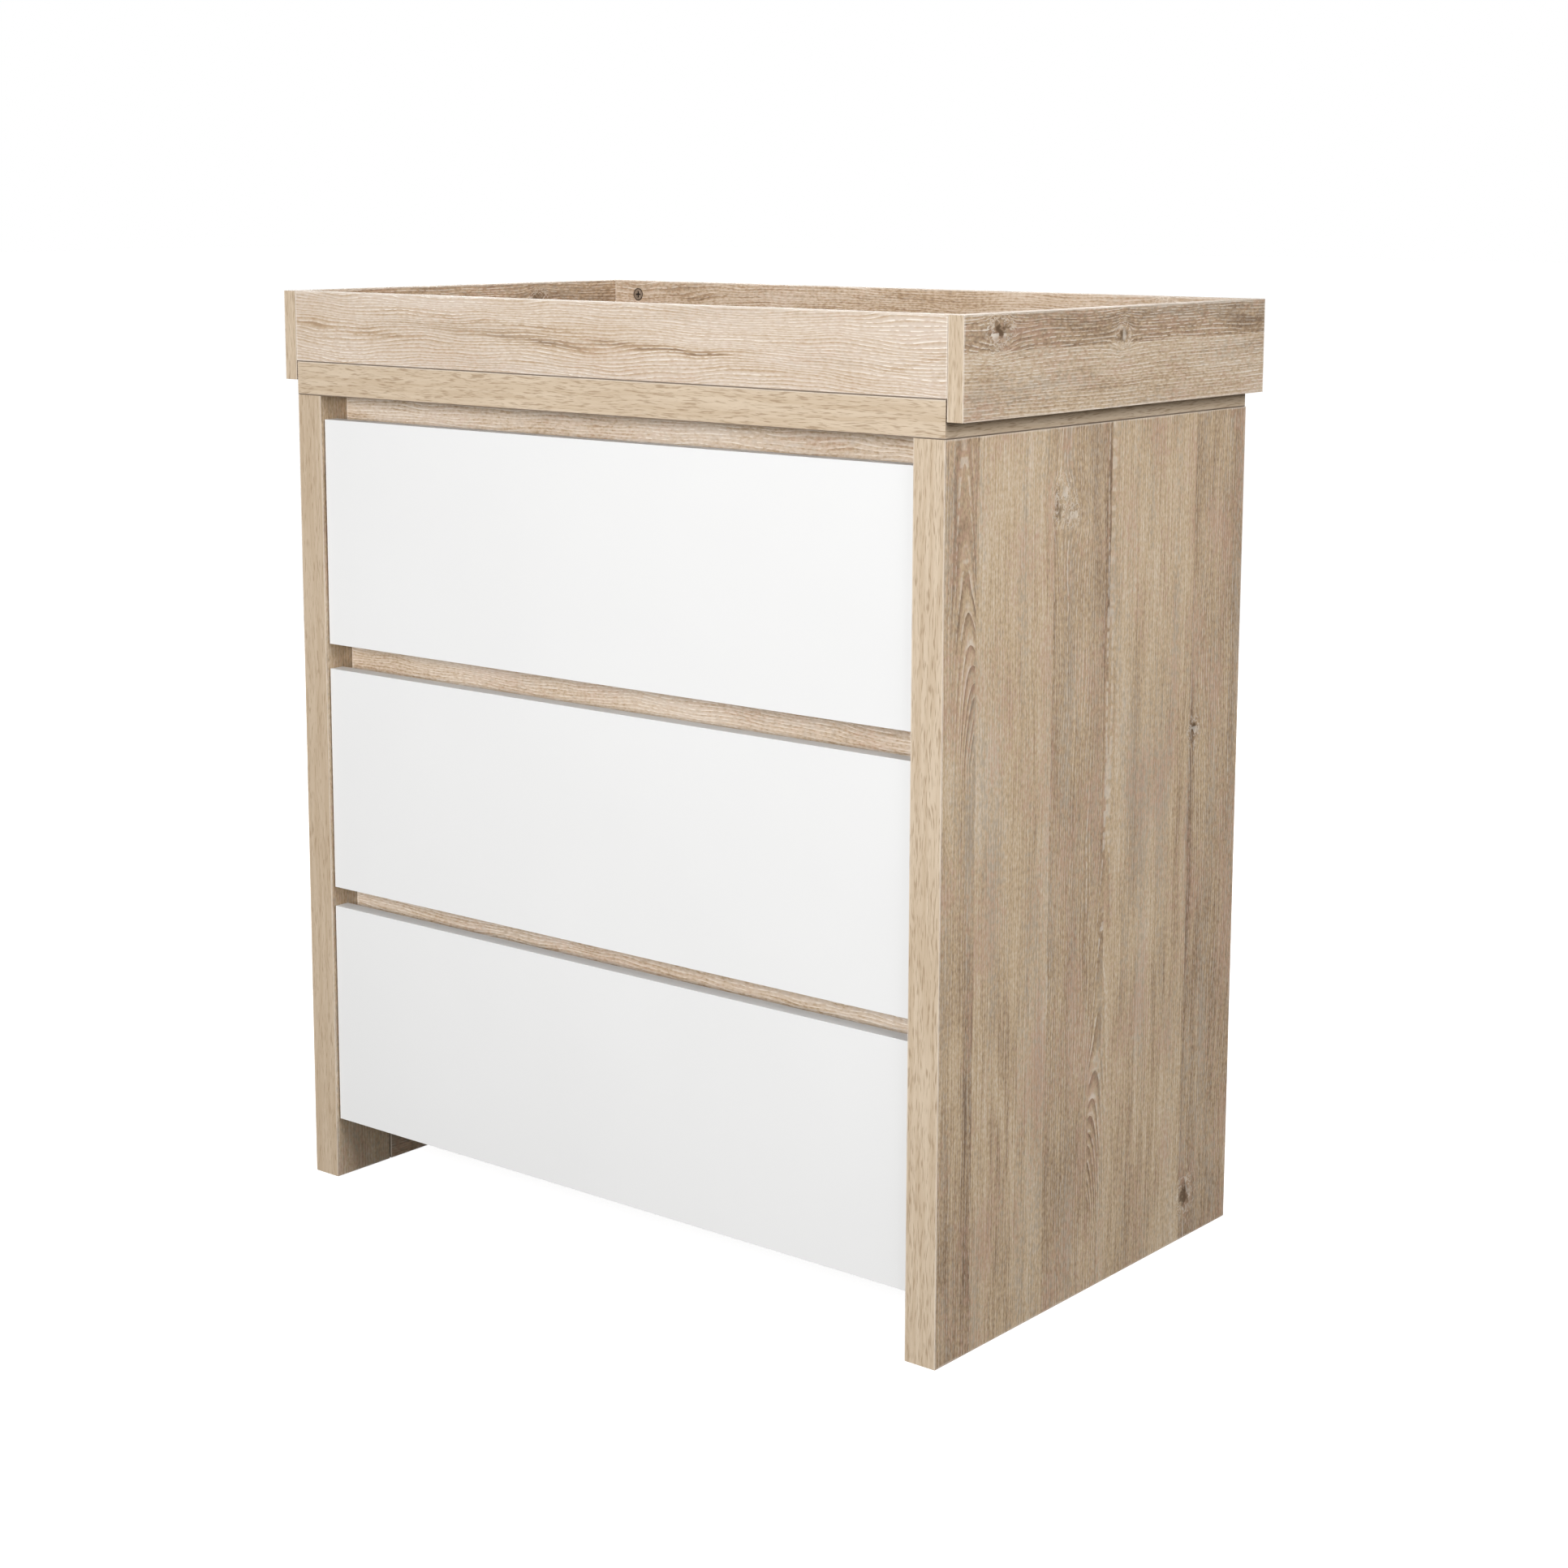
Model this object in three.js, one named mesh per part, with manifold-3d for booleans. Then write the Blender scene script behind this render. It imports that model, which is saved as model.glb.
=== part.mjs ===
// A nursery chest of three drawers with a lift-off changing tray on top.
// Millimetres, +Z up. The origin is on the floor, under the middle of the chest's plan.
// The drawers open towards -Y, which is the front, and +X is on the right seen from there.

import * as THREE from 'three';
import { mergeVertices } from 'three/addons/utils/BufferGeometryUtils.js';
import Module from 'manifold-3d';

const wasm = await Module();
wasm.setup();

// ---------------------------------------------------------------- driving dimensions

const WIDTH = 880; // over the two side panels
const DEPTH = 538; // of a side panel, front edge to rear edge
const SIDE_HEIGHT = 892; // floor to the underside of the top
const BOARD = 18; // melamine-faced chipboard
const DOUBLE_BOARD = 2 * BOARD; // the sides' front edges, and the top
const STILE_DEPTH = 80; // how far back the doubled front edge of a side runs
const LINING_GAP = 2.5; // open joint between that doubled edge and the lining board behind it
const JOINT = 0.3; // clearance left between two pieces that meet
const TOP_OVERLAP = 16; // how far the top runs past the boards that the back is nailed to

const FRONT_HEIGHT = 249; // drawer fronts
const FRONT_SETBACK = 3.5; // behind the sides' front edges
const FRONT_SIDE_GAP = 2.5; // between a drawer front and the side panel beside it
const DRAWERS = [
  { name: 'top', z: 617 }, // bottom edge of each drawer front, above the floor
  { name: 'middle', z: 340 },
  { name: 'bottom', z: 69 },
];

const RAIL_SETBACK = 38; // leaves finger room behind the top edge of a drawer front
const RAIL_HEIGHT = 70;
const TOP_RAIL_HEIGHT = 66;
const PLINTH_INSET = 36; // rear plinth, in front of the back

const BOX_HEIGHT = 170; // drawer box
const BOX_DEPTH = 450;
const BOX_BOARD = 12;
const BOX_LIFT = 30; // above the bottom edge of the drawer front
const RUNNER_SPACE = 12.7; // between drawer box and cabinet, on each side
const SHEET = 3; // drawer bottoms and the cabinet's back

const TRAY_RISE = 77; // tray boards above the top
const TRAY_LAP = 20; // tray sides hang this far below the top's upper face
const TRAY_SIDE_GAP = 1.5; // between a tray side and the edge of the top

// ---------------------------------------------------------------- places worked out from them

const FRONT = -DEPTH / 2;
const REAR = DEPTH / 2;
const OUTER_X = WIDTH / 2;
const OPENING_X = OUTER_X - DOUBLE_BOARD; // half the width between the side panels
const CABINET_TOP = SIDE_HEIGHT - JOINT;
const TOP_Z = SIDE_HEIGHT + DOUBLE_BOARD;
const BACK_Y = REAR - BOARD; // rear edges of the boards that the back is nailed to
const TOP_REAR = BACK_Y + TOP_OVERLAP;
const [topDrawer, middleDrawer, bottomDrawer] = DRAWERS;
const SIDES = [
  { hand: 'left', side: -1 },
  { hand: 'right', side: 1 },
];

// ---------------------------------------------------------------- materials

const oak = new THREE.MeshStandardMaterial({ color: 0xc2ab90, roughness: 0.6 });
const white = new THREE.MeshStandardMaterial({ color: 0xf2f2f0, roughness: 0.45 });
const whiteBoard = new THREE.MeshStandardMaterial({ color: 0xe9e8e4, roughness: 0.55 });
const hardboard = new THREE.MeshStandardMaterial({ color: 0x9a7b57, roughness: 0.8 });
const plastic = new THREE.MeshStandardMaterial({ color: 0xeeeeea, roughness: 0.5 });
const zincSteel = new THREE.MeshStandardMaterial({ color: 0xb9bcc0, roughness: 0.35, metalness: 1 });
const castZinc = new THREE.MeshStandardMaterial({ color: 0x8c8580, roughness: 0.4, metalness: 1 });

// ---------------------------------------------------------------- geometry helpers

const chest = new THREE.Group();

function add(name, geometry, material) {
  const mesh = new THREE.Mesh(geometry, material);
  mesh.name = name;
  chest.add(mesh);
}

// The box that has these two points as opposite corners.
function block(a, b) {
  const box = new THREE.Box3().setFromPoints([new THREE.Vector3(...a), new THREE.Vector3(...b)]);
  const size = box.getSize(new THREE.Vector3());
  const centre = box.getCenter(new THREE.Vector3());
  return new THREE.BoxGeometry(size.x, size.y, size.z).translate(centre.x, centre.y, centre.z);
}

// A round rod along Y, between two values of y.
function rodAlongY(radius, x, z, yA, yB, sides = 32) {
  const rod = new THREE.CylinderGeometry(radius, radius, Math.abs(yB - yA), sides);
  return rod.translate(x, (yA + yB) / 2, z);
}

// A round rod along X, between two values of x.
function rodAlongX(radius, xA, xB, y, z, sides = 24) {
  const rod = new THREE.CylinderGeometry(radius, radius, Math.abs(xB - xA), sides);
  return rod.rotateZ(Math.PI / 2).translate((xA + xB) / 2, y, z);
}

function outline(points) {
  return new THREE.Shape(points.map(([x, y]) => new THREE.Vector2(x, y)));
}

function solidOf(geometry) {
  const bare = geometry.clone();
  bare.deleteAttribute('normal');
  bare.deleteAttribute('uv');
  const merged = mergeVertices(bare);
  const vertProperties = merged.attributes.position.array;
  const triVerts = new Uint32Array(merged.index.array);
  return new wasm.Manifold(new wasm.Mesh({ numProp: 3, vertProperties, triVerts }));
}

// The first geometry with all the others cut out of it.
function cut(geometry, ...cutters) {
  const solid = cutters.reduce((left, cutter) => left.subtract(solidOf(cutter)), solidOf(geometry));
  const { vertProperties, triVerts } = solid.getMesh();
  const result = new THREE.BufferGeometry();
  result.setAttribute('position', new THREE.BufferAttribute(vertProperties, 3));
  result.setIndex(new THREE.BufferAttribute(triVerts, 1));
  result.computeVertexNormals();
  return result;
}

// ---------------------------------------------------------------- side panels

// A full-depth board with its front edge doubled, so that it looks like a thick slab from the front.
function sidePanel(side) {
  const stileEnd = FRONT + STILE_DEPTH;
  const plan = outline([
    [side * OUTER_X, FRONT],
    [side * OUTER_X, REAR],
    [side * (OUTER_X - BOARD), REAR],
    [side * (OUTER_X - BOARD), stileEnd],
    [side * OPENING_X, stileEnd],
    [side * OPENING_X, FRONT],
  ]);
  return new THREE.ExtrudeGeometry(plan, { depth: CABINET_TOP, bevelEnabled: false });
}

// A second board, behind the doubled edge, which lines the side and carries the runners.
function liningPanel(side) {
  const front = FRONT + STILE_DEPTH + LINING_GAP;
  return block([side * (OUTER_X - BOARD - JOINT), front, 0], [side * OPENING_X, BACK_Y, CABINET_TOP]);
}

for (const { hand, side } of SIDES) {
  add(`${hand}_side_panel`, sidePanel(side), oak);
  add(`${hand}_lining_panel`, liningPanel(side), oak);
}

// ---------------------------------------------------------------- boards across the cabinet

// A board that fits between the side panels.
function crossBoard(y0, y1, z0, z1) {
  const halfLength = OPENING_X - JOINT;
  return block([-halfLength, y0, z0], [halfLength, y1, z1]);
}

// Rails close the handle gaps behind the drawer fronts.
function rail(z0, z1) {
  const y = FRONT + RAIL_SETBACK;
  return crossBoard(y, y + BOARD, z0, z1);
}

// A rail centred on the gap between one drawer front and the one above it.
function railBetween(below, above) {
  const middle = (below.z + FRONT_HEIGHT + above.z) / 2;
  return rail(middle - RAIL_HEIGHT / 2, middle + RAIL_HEIGHT / 2);
}

const PLINTH_Y = BACK_Y - PLINTH_INSET;
const BOTTOM_Z = bottomDrawer.z;
add('top_panel', block([-OUTER_X, FRONT, SIDE_HEIGHT], [OUTER_X, TOP_REAR, TOP_Z]), oak);
add('top_rail', rail(CABINET_TOP - TOP_RAIL_HEIGHT, CABINET_TOP), oak);
add('upper_rail', railBetween(middleDrawer, topDrawer), oak);
add('lower_rail', railBetween(bottomDrawer, middleDrawer), oak);
add('bottom_panel', crossBoard(FRONT + RAIL_SETBACK, BACK_Y, BOTTOM_Z, BOTTOM_Z + BOARD), oak);
add('rear_plinth', crossBoard(PLINTH_Y, PLINTH_Y + BOARD, 0, BOTTOM_Z - JOINT), oak);

// ---------------------------------------------------------------- back

// Two sheets of hardboard, held together by a plastic joining strip with an H section.
const BACK_FACE = BACK_Y + JOINT;
const BACK_SPLIT = 480; // height of the joint between the sheets
const STRIP = { wall: 1, flange: 11, halfLength: OPENING_X - 1 };

function backSheet(z0, z1) {
  const halfWidth = OUTER_X - BOARD - JOINT;
  return block([-halfWidth, BACK_FACE, z0], [halfWidth, BACK_FACE + SHEET, z1]);
}

function joiningStrip() {
  const grip = SHEET / 2 + JOINT; // half the slot that a sheet slides into
  const face = grip + STRIP.wall;
  const web = STRIP.wall / 2;
  const quarter = [[face, STRIP.flange], [grip, STRIP.flange], [grip, web]];
  const section = outline([
    ...quarter,
    ...quarter.map(([y, z]) => [-y, z]).reverse(),
    ...quarter.map(([y, z]) => [-y, -z]),
    ...quarter.map(([y, z]) => [y, -z]).reverse(),
  ]);
  const strip = new THREE.ExtrudeGeometry(section, { depth: 2 * STRIP.halfLength, bevelEnabled: false });
  strip.rotateX(Math.PI / 2).rotateZ(Math.PI / 2); // section x and y now lie along Y and Z
  return strip.translate(-STRIP.halfLength, BACK_FACE + SHEET / 2, BACK_SPLIT);
}

const SPLIT_GAP = STRIP.wall / 2 + JOINT;
add('lower_back_panel', backSheet(BOTTOM_Z + 1, BACK_SPLIT - SPLIT_GAP), hardboard);
add('upper_back_panel', backSheet(BACK_SPLIT + SPLIT_GAP, CABINET_TOP), hardboard);
add('back_joining_strip', joiningStrip(), plastic);

// ---------------------------------------------------------------- runners

// Full-extension ball-bearing runners: a cabinet channel, a middle channel that travels half as
// far as the drawer, and a drawer channel. web and tip are distances in from the cabinet's face.
const STEEL = 1.2;
const CORNER = 2; // outside radius of a channel's folds
const RUNNER_PIECES = [
  { name: 'cabinet', web: JOINT, tip: 9.5, halfHeight: 22.5, length: 450 },
  { name: 'middle', web: 3.6, tip: 10.6, halfHeight: 18.1, length: 420 },
  { name: 'drawer', web: RUNNER_SPACE - JOINT, tip: 6.2, halfHeight: 13.7, length: 450 },
];
const RUNNER_LIFT = 40; // centreline above the bottom of the drawer box
const RUNNER_FRONT = FRONT + FRONT_SETBACK + BOARD + 1.5;

function runnerPiece({ web, tip, halfHeight, length }, side, z) {
  const into = Math.sign(tip - web);
  const x = (inset) => side * (OPENING_X - inset);
  const shape = new THREE.Shape();
  shape.moveTo(x(tip), halfHeight);
  shape.lineTo(x(web + into * CORNER), halfHeight);
  shape.quadraticCurveTo(x(web), halfHeight, x(web), halfHeight - CORNER);
  shape.lineTo(x(web), CORNER - halfHeight);
  shape.quadraticCurveTo(x(web), -halfHeight, x(web + into * CORNER), -halfHeight);
  shape.lineTo(x(tip), -halfHeight);
  shape.lineTo(x(tip), STEEL - halfHeight);
  shape.lineTo(x(web + into * STEEL), STEEL - halfHeight);
  shape.lineTo(x(web + into * STEEL), halfHeight - STEEL);
  shape.lineTo(x(tip), halfHeight - STEEL);
  const rod = new THREE.ExtrudeGeometry(shape, { depth: length, bevelEnabled: false, curveSegments: 3 });
  return rod.rotateX(Math.PI / 2).translate(0, RUNNER_FRONT + length, z);
}

// ---------------------------------------------------------------- drawers

const BOX_X = OPENING_X - RUNNER_SPACE; // outside face of a drawer side
const BOX_INNER_X = BOX_X - BOX_BOARD;
const BOX_FRONT = FRONT + FRONT_SETBACK + BOARD + JOINT;
const BOX_REAR = BOX_FRONT + BOX_DEPTH;
const FLOOR_LIFT = 10; // drawer bottom above the lower edges of the box
const GROOVE_DEPTH = 6;

// The space of a drawer's bottom sheet, let into the four boards round it, less a clearance.
function drawerFloor(z, clearance) {
  const x = BOX_INNER_X + GROOVE_DEPTH - clearance;
  const y0 = BOX_FRONT - GROOVE_DEPTH + clearance;
  const y1 = BOX_REAR - BOX_BOARD + GROOVE_DEPTH - clearance;
  return block([-x, y0, z - JOINT + clearance], [x, y1, z + SHEET + JOINT - clearance]);
}

function addDrawer({ name, z }) {
  const boxZ = z + BOX_LIFT;
  const boxTop = boxZ + BOX_HEIGHT;
  const groove = drawerFloor(boxZ + FLOOR_LIFT, 0);

  const halfFront = OPENING_X - FRONT_SIDE_GAP;
  const frontY = FRONT + FRONT_SETBACK;
  const front = block([-halfFront, frontY, z], [halfFront, frontY + BOARD, z + FRONT_HEIGHT]);
  add(`${name}_drawer_front`, cut(front, groove), white);

  for (const { hand, side } of SIDES) {
    const board = block([side * BOX_INNER_X, BOX_FRONT, boxZ], [side * BOX_X, BOX_REAR, boxTop]);
    add(`${name}_drawer_${hand}_side`, cut(board, groove), whiteBoard);
    for (const piece of RUNNER_PIECES) {
      const runner = runnerPiece(piece, side, boxZ + RUNNER_LIFT);
      add(`${name}_${hand}_${piece.name}_runner`, runner, zincSteel);
    }
  }

  const halfBack = BOX_INNER_X - JOINT;
  const back = block([-halfBack, BOX_REAR - BOX_BOARD, boxZ], [halfBack, BOX_REAR, boxTop]);
  add(`${name}_drawer_back`, cut(back, groove), whiteBoard);
  add(`${name}_drawer_bottom`, drawerFloor(boxZ + FLOOR_LIFT, JOINT), whiteBoard);
}

DRAWERS.forEach(addDrawer);

// ---------------------------------------------------------------- changing tray

// Four boards. The sides hang over the edges of the top, and a cam and bolt pulls each corner tight.
const TRAY_TOP = TOP_Z + TRAY_RISE;
const TRAY_INNER_X = OUTER_X + TRAY_SIDE_GAP;
const TRAY_BOARDS = [
  { name: 'front', innerY: FRONT + BOARD, outerY: FRONT },
  { name: 'back', innerY: TOP_REAR - BOARD, outerY: TOP_REAR },
];
const CAM = { radius: 7.4, depth: 13.2, fromEnd: 38, slotRadius: 3.5, slotEnd: 1.5 };
const CAM_Z = TRAY_TOP - 16.5;
const CROSS = { arm: 4, halfWidth: 0.9, depth: 3 }; // screwdriver recess in a cam's face
const BOLT = { threadRadius: 2.9, shankRadius: 2.3, headRadius: 3.1, headLength: 5, screwedIn: 11 };
const BOLT_BORE = { radius: 4, threadRadius: BOLT.threadRadius + JOINT };

const camX = (side) => side * (TRAY_INNER_X - CAM.fromEnd);

// A front or back board, with a pocket for each cam and a bore for each bolt.
function trayCrossBoard({ innerY, outerY }) {
  const out = Math.sign(outerY - innerY);
  const halfLength = TRAY_INNER_X - JOINT;
  const board = block([-halfLength, innerY, TOP_Z + JOINT], [halfLength, outerY, TRAY_TOP]);
  const cuts = SIDES.flatMap(({ side }) => [
    rodAlongY(CAM.radius + JOINT, camX(side), CAM_Z, innerY - out, innerY + out * (CAM.depth + JOINT)),
    rodAlongX(BOLT_BORE.radius, camX(side), side * (halfLength + 1), (innerY + outerY) / 2, CAM_Z),
  ]);
  return cut(board, ...cuts);
}

function traySide(side) {
  const outerX = TRAY_INNER_X + BOARD;
  const board = block([side * TRAY_INNER_X, FRONT, TOP_Z - TRAY_LAP], [side * outerX, REAR, TRAY_TOP]);
  const bores = TRAY_BOARDS.map(({ innerY, outerY }) => {
    const start = side * (TRAY_INNER_X - 1);
    const end = side * (TRAY_INNER_X + BOLT.screwedIn + JOINT);
    return rodAlongX(BOLT_BORE.threadRadius, start, end, (innerY + outerY) / 2, CAM_Z);
  });
  return cut(board, ...bores);
}

// A cam, open at the side where the bolt's head comes in.
function cam(side, { innerY, outerY }) {
  const out = Math.sign(outerY - innerY);
  const x = camX(side);
  const body = rodAlongY(CAM.radius, x, CAM_Z, innerY, innerY + out * CAM.depth);
  const slotFrom = x - side * CAM.slotEnd;
  const slotTo = x + side * (CAM.radius + 1);
  const slot = rodAlongX(CAM.slotRadius, slotFrom, slotTo, (innerY + outerY) / 2, CAM_Z);
  const recess = (halfX, halfZ) =>
    block(
      [x - halfX, innerY - out, CAM_Z - halfZ],
      [x + halfX, innerY + out * CROSS.depth, CAM_Z + halfZ],
    );
  return cut(body, slot, recess(CROSS.arm, CROSS.halfWidth), recess(CROSS.halfWidth, CROSS.arm));
}

// A bolt screwed into a tray side, with its head held by the cam.
function camBolt(side, { innerY, outerY }) {
  const neck = CAM.fromEnd - BOLT.headLength;
  const profile = [
    [0, -BOLT.screwedIn],
    [BOLT.threadRadius, -BOLT.screwedIn],
    [BOLT.threadRadius, 0],
    [BOLT.shankRadius, 0],
    [BOLT.shankRadius, neck],
    [BOLT.headRadius, neck],
    [BOLT.headRadius, CAM.fromEnd],
    [0, CAM.fromEnd],
  ].map(([radius, along]) => new THREE.Vector2(radius, along));
  const bolt = new THREE.LatheGeometry(profile, 24).rotateZ((side * Math.PI) / 2);
  return bolt.translate(side * TRAY_INNER_X, (innerY + outerY) / 2, CAM_Z);
}

for (const board of TRAY_BOARDS) {
  add(`tray_${board.name}`, trayCrossBoard(board), oak);
  for (const { hand, side } of SIDES) {
    add(`tray_${board.name}_${hand}_cam`, cam(side, board), castZinc);
    add(`tray_${board.name}_${hand}_bolt`, camBolt(side, board), zincSteel);
  }
}
for (const { hand, side } of SIDES) {
  add(`tray_${hand}_side`, traySide(side), oak);
}

// ---------------------------------------------------------------- fixing plates

// Two flat steel plates, screwed to the rear of the tray and of the top, hold the tray in place.
const PLATE = { x: 300, width: 20, below: 28, above: 36, thickness: 1.4 };
const PLATE_HOLES = { radius: 2.2, heights: [-20, -8, 14, 28] }; // heights from the top's upper face

function fixingPlate(x) {
  const y0 = TOP_REAR + JOINT;
  const y1 = y0 + PLATE.thickness;
  const halfWidth = PLATE.width / 2;
  const plate = block([x - halfWidth, y0, TOP_Z - PLATE.below], [x + halfWidth, y1, TOP_Z + PLATE.above]);
  const holes = PLATE_HOLES.heights.map((height) =>
    rodAlongY(PLATE_HOLES.radius, x, TOP_Z + height, y0 - 1, y1 + 1, 16),
  );
  return cut(plate, ...holes);
}

for (const { hand, side } of SIDES) {
  add(`tray_${hand}_fixing_plate`, fixingPlate(side * PLATE.x), zincSteel);
}

export default chest;
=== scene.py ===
"""A nursery chest of three drawers with a lift-off changing tray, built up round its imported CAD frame."""
import math

import bmesh
import bpy
from mathutils import Matrix, Vector


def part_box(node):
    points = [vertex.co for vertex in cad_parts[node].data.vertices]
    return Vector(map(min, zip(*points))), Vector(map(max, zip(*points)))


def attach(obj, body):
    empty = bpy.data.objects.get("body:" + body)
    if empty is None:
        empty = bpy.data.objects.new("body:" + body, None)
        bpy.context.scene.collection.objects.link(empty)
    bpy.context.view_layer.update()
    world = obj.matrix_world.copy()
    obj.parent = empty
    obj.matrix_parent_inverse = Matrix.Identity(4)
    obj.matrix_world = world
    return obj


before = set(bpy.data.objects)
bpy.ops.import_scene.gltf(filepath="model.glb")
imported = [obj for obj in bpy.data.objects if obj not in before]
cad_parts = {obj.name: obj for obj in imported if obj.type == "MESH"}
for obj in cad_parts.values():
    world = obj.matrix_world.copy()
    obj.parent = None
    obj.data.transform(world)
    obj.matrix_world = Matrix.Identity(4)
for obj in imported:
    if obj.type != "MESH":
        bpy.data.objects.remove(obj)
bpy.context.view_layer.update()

# ---------------------------------------------------------------- studio
# A white room with light from all round, and three large round soft lamps: in front, right and behind.
# The floor is matt white paper. It throws little light back up, so that the undersides stay in shade.


def colour(code):
    """An sRGB hex colour as linear red, green, blue and alpha."""
    parts = [int(code[i:i + 2], 16) / 255 for i in (1, 3, 5)]
    return (*[p / 12.92 if p <= 0.04045 else ((p + 0.055) / 1.055) ** 2.4 for p in parts], 1.0)


def add(tree, kind, values=(), out=0, **settings):
    """Adds a node, fills or links its sockets by place or name, and gives back one output, if it has any."""
    made = tree.nodes.new("ShaderNode" + kind)
    for name, value in settings.items():
        setattr(made, name, value)
    sockets = values if isinstance(values, dict) else dict(enumerate(values))
    for socket, value in sockets.items():
        if isinstance(value, bpy.types.NodeSocket):
            tree.links.new(value, made.inputs[socket])
        elif value is not None:
            made.inputs[socket].default_value = value
    return made.outputs[out] if made.outputs else None


def new_material(name):
    """An empty material, and its node tree."""
    material = bpy.data.materials.new(name)
    material.use_nodes = True
    material.node_tree.nodes.clear()
    return material, material.node_tree


def point_of_view(place, yaw, pitch, roll):
    """A camera's matrix: yaw is anticlockwise from +Y, pitch is downwards, both in degrees."""
    turn = Matrix.Rotation(math.radians(yaw), 4, "Z") @ Matrix.Rotation(math.radians(90 - pitch), 4, "X")
    return Matrix.Translation(place) @ turn @ Matrix.Rotation(math.radians(roll), 4, "Z")


# Standing height, in front and to the right, looking slightly down: metres, then degrees.
EYE_PLACE = (1.944, -2.345, 1.116)
EYE_YAW, EYE_PITCH, EYE_ROLL = 39.188, 8.933, 0.152

scene = bpy.context.scene
scene.view_settings.view_transform = "Standard"
eye = bpy.data.cameras.new("camera")
eye.lens = 64.82
eye.sensor_width = 36.0
eye.shift_y = -0.096
camera = bpy.data.objects.new("camera", eye)
scene.collection.objects.link(camera)
camera.matrix_world = point_of_view(EYE_PLACE, EYE_YAW, EYE_PITCH, EYE_ROLL)
scene.camera = camera

BELOW_GLOW, ABOVE_GLOW = 0.08, 0.32  # how brightly the room lights the object from low down and from above
world = bpy.data.worlds.new("white_room")
scene.world = world
world.use_nodes = True
tree = world.node_tree
tree.nodes.clear()
upward = add(tree, "SeparateXYZ", [add(tree, "TexCoord", out="Generated")], out="Z")
room_light = add(tree, "MapRange", [upward, -0.35, 0.5, BELOW_GLOW, ABOVE_GLOW])
seen = add(tree, "LightPath", out="Is Camera Ray")
glow = add(tree, "Mix", {0: seen, 2: room_light, 3: 1.0})
room = add(tree, "Background", {"Color": colour("#FFFFFF"), "Strength": glow})
add(tree, "OutputWorld", [room])

# name, place, what it is aimed at, width in metres, watts
LAMPS = (
    ("front_soft_box", (0.35, -3.7, 1.45), (0.0, -0.2, 0.6), 1.8, 121.0),
    ("side_soft_box", (3.2, -0.5, 2.1), (0.4, 0.0, 0.6), 2.0, 76.0),
    ("back_soft_box", (-2.4, 2.8, 1.9), (0.0, 0.2, 0.6), 2.4, 110.0),
)
for name, place, aim, width, power in LAMPS:
    soft_box = bpy.data.lights.new(name, "AREA")
    soft_box.shape = "DISK"
    soft_box.size = width
    soft_box.energy = power
    lamp = bpy.data.objects.new(name, soft_box)
    scene.collection.objects.link(lamp)
    lamp.location = place
    lamp.rotation_euler = (Vector(aim) - Vector(place)).to_track_quat("-Z", "Y").to_euler()
    lamp.visible_camera = False

FLOOR_HALF, FLOOR_DROP = 40.0, 0.0005  # metres: half its side, and how far it lies below the feet
floor_mesh = bpy.data.meshes.new("paper_floor")
corners = [(x * FLOOR_HALF, y * FLOOR_HALF, -FLOOR_DROP) for x, y in ((-1, -1), (1, -1), (1, 1), (-1, 1))]
floor_mesh.from_pydata(corners, [], [(0, 1, 2, 3)])
floor = bpy.data.objects.new("paper_floor", floor_mesh)
scene.collection.objects.link(floor)
floor.visible_glossy = False

# Matt white paper: faintly mottled by its fibres, with no gloss. It shows white, and is grey to the object.
paper, tree = new_material("matt_white_paper")
spot = add(tree, "TexCoord", out="Object")
fibres = add(tree, "TexNoise", {"Vector": spot, "Scale": 60.0, "Detail": 4.0}, out="Fac")
seen = add(tree, "LightPath", out="Is Camera Ray")
tint = add(tree, "Mix", {0: fibres, 6: colour("#C4C4C4"), 7: colour("#CACACA")}, out=2, data_type="RGBA")
tint = add(tree, "Mix", {0: seen, 6: colour("#585650"), 7: tint}, out=2, data_type="RGBA")
glow = add(tree, "Math", [seen, 0.85], operation="MULTIPLY")
matt = {"Base Color": tint, "Roughness": 1.0, "Specular IOR Level": 0.0}
shine = {"Emission Color": colour("#FFFFFF"), "Emission Strength": glow}
add(tree, "OutputMaterial", [add(tree, "BsdfPrincipled", matt | shine)])
floor_mesh.materials.append(paper)

# ---------------------------------------------------------------- oak-effect boards
# Every carcass and tray board is chipboard faced with a printed, embossed foil of limed oak.
# The foil shows lengths of timber laid side by side, with growth rings, lime-filled pores and knots.
# The edges are closed with a thin band of a warmer, straighter print.

MM = 0.001  # a millimetre, in metres
PORE_LENGTH, PORE_DEPTH = 9.0, 0.12  # mm
# Each growth ring has a row of pores. Rings are 1 to 3 mm apart on a real foil, and drawn coarser to show.
SIDE_ROW, TRAY_ROW = 4.0, 3.2  # mm
ARCH_STEEPNESS, ARCH_REACH = 0.26, 19.0  # how steeply an arch's rings close in, and mm that they lean out
CROWN_RUN, CROWN_RISE = 200.0, 26.0  # mm over which the rings close above an arch, and how far they do
BORDER_HIGHLIGHT, RIM_HIGHLIGHT = 0.36, 0.32  # how pale the painted highlight is along a board's borders, and along its band's corners
FOIL = ((0.0, "#87705A"), (0.35, "#AF967B"), (0.7, "#CFB797"), (1.0, "#DECDB8"))
# The first of these is the pale lime in the pores, and also the colour of the painted highlights along the
# borders.
LIME_AND_HIGHLIGHT, LIMED, KNOT_AND_GAP_SHADE, ASH, ROSE = "#F1E8DD", "#D1C6BF", "#57432F", "#AFA293", "#C39F8C"
EDGE_TAN, EDGE_STREAK, EDGE_PALE = "#C4B097", "#957B5F", "#D0BEA7"
SMOOTH = {"interpolation_type": "SMOOTHSTEP"}


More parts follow.
